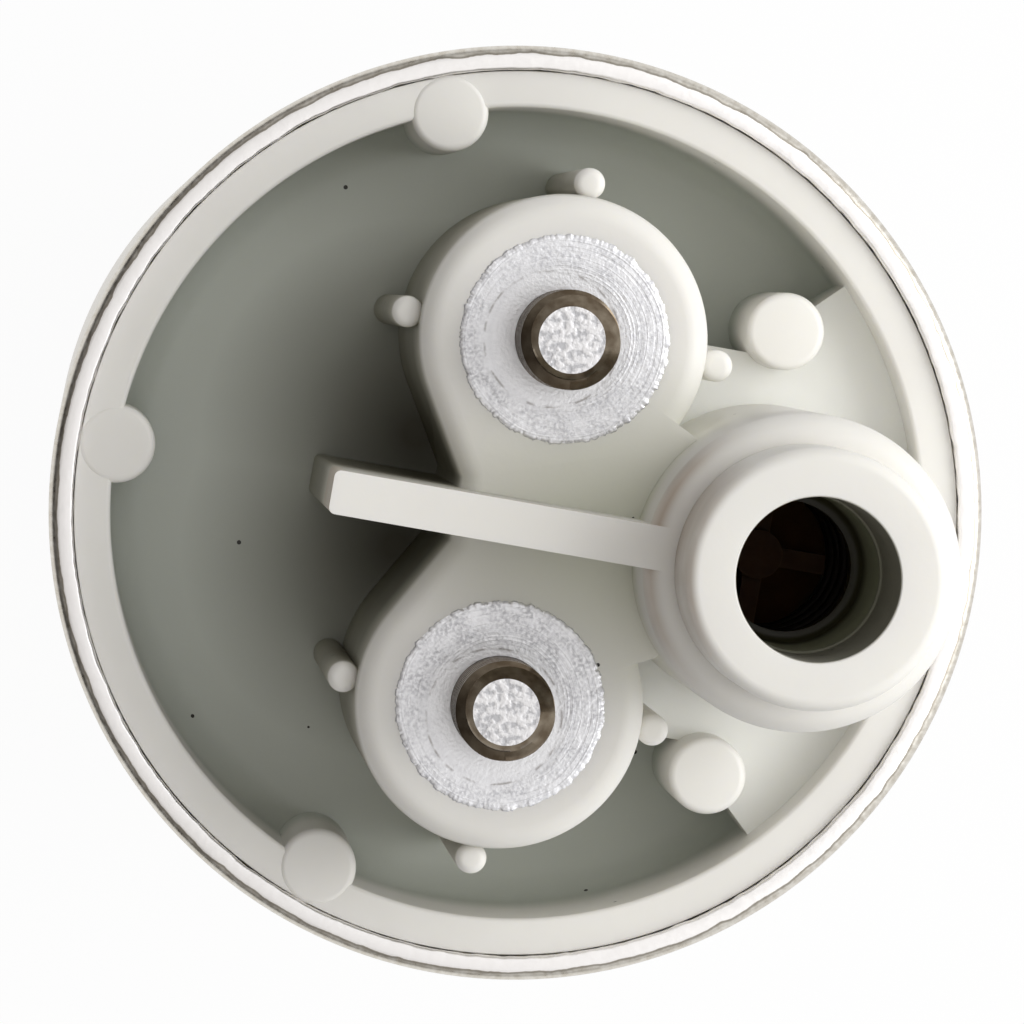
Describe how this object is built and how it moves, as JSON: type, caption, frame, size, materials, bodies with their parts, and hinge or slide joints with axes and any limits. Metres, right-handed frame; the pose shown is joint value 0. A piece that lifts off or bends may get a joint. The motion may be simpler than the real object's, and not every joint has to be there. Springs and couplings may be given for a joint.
{
  "type": "in-tank fuel pump",
  "caption": "Cylindrical in-tank electric fuel pump: steel housing, plastic end cap with outlet spigot and screw terminals, motor, turbine stage and valves inside.",
  "frame": {"origin": "on the pump's axis, at the middle of the steel housing's length", "axes": "+Z along the pump's axis towards the outlet end, +X from the axis towards the outlet spigot"},
  "size_m": [0.038, 0.038, 0.113],
  "materials": {
    "housing_steel": "drawn zinc-plated steel, satin with a bright closed lip",
    "acetal_cap": "natural acetal, slightly translucent, aged grey-green in the recess",
    "seal_rubber": "black fuel-proof rubber",
    "bearing_carbon": "sintered carbon",
    "valve_plastic": "natural acetal",
    "poppet_rubber": "dark brown fluorocarbon rubber on a plastic core",
    "spring_steel": "drawn stainless spring steel",
    "ground_steel": "ground and polished steel",
    "spacer_plastic": "moulded phenolic",
    "core_steel": "stacked electrical sheet, lacquered",
    "winding_copper": "enamelled copper wire",
    "commutator_moulding": "brown phenolic moulding",
    "commutator_carbon": "pressed carbon",
    "impeller_plastic": "glass-filled phenolic",
    "casing_aluminium": "die-cast aluminium, bead blasted",
    "thrust_ceramic": "sintered ceramic",
    "plug_brass": "turned brass",
    "bush_aluminium": "turned aluminium with tool marks",
    "stud_plated": "nickel-plated steel, bronze tint on the thread crests",
    "tag_brass": "punched brass strip",
    "ferrite": "pressed ferrite",
    "choke_copper": "enamelled copper wire",
    "brush_carbon": "pressed carbon",
    "lead_copper": "bare copper braid",
    "magnet_ferrite": "sintered ferrite"
  },
  "bodies": {
    "housing": {"housing_tube": "housing_steel", "end_cap": "acetal_cap", "cap_seal": "seal_rubber", "casing_seal": "seal_rubber", "upper_bearing": "bearing_carbon", "lower_bearing": "bearing_carbon", "outlet_valve_seat": "valve_plastic", "outlet_valve_spring": "spring_steel", "pump_casing": "casing_aluminium", "pump_cover": "casing_aluminium", "thrust_pad": "thrust_ceramic", "relief_spring": "spring_steel", "relief_plug": "plug_brass", "terminal_bush_a": "bush_aluminium", "terminal_stud_a": "stud_plated", "terminal_tag_a": "tag_brass", "choke_core_a": "ferrite", "choke_coil_a": "choke_copper", "brush_spring_a": "spring_steel", "brush_lead_a": "lead_copper", "magnet_a": "magnet_ferrite", "magnet_clip_a": "spring_steel", "terminal_bush_b": "bush_aluminium", "terminal_stud_b": "stud_plated", "terminal_tag_b": "tag_brass", "choke_core_b": "ferrite", "choke_coil_b": "choke_copper", "brush_spring_b": "spring_steel", "brush_lead_b": "lead_copper", "magnet_b": "magnet_ferrite", "magnet_clip_b": "spring_steel"},
    "rotor": {"shaft": "ground_steel", "upper_spacer": "spacer_plastic", "lower_spacer": "spacer_plastic", "armature_core": "core_steel", "armature_winding": "winding_copper", "commutator_base": "commutator_moulding", "commutator_segments": "commutator_carbon", "impeller": "impeller_plastic"},
    "outlet_valve": {"outlet_valve_poppet": "poppet_rubber"},
    "relief_valve": {"relief_ball": "ground_steel"},
    "brush_a": {"brush_a": "brush_carbon"},
    "brush_b": {"brush_b": "brush_carbon"}
  },
  "joints": [
    {"name": "rotor_spin", "type": "hinge", "parent": "housing", "child": "rotor", "pos_m": [0, 0, 0], "axis": [0, 0, 1], "continuous": true},
    {"name": "outlet_valve_lift", "type": "slide", "parent": "housing", "child": "outlet_valve", "axis": [0, 0, 1], "range_m": [0, 0.0024], "stiffness_N_per_m": 60, "springref_m": -0.003, "deforming": ["outlet_valve_spring"]},
    {"name": "relief_valve_lift", "type": "slide", "parent": "housing", "child": "relief_valve", "axis": [0, 0, -1], "range_m": [0, 0.0012], "stiffness_N_per_m": 800, "springref_m": -0.003, "deforming": ["relief_spring"]},
    {"name": "brush_a_slide", "type": "slide", "parent": "housing", "child": "brush_a", "axis": [0, 0, 1], "range_m": [0, 0.0012], "stiffness_N_per_m": 150, "springref_m": -0.004, "deforming": ["brush_spring_a", "brush_lead_a"]},
    {"name": "brush_b_slide", "type": "slide", "parent": "housing", "child": "brush_b", "axis": [0, 0, 1], "range_m": [0, 0.0012], "stiffness_N_per_m": 150, "springref_m": -0.004, "deforming": ["brush_spring_b", "brush_lead_b"]}
  ]
}
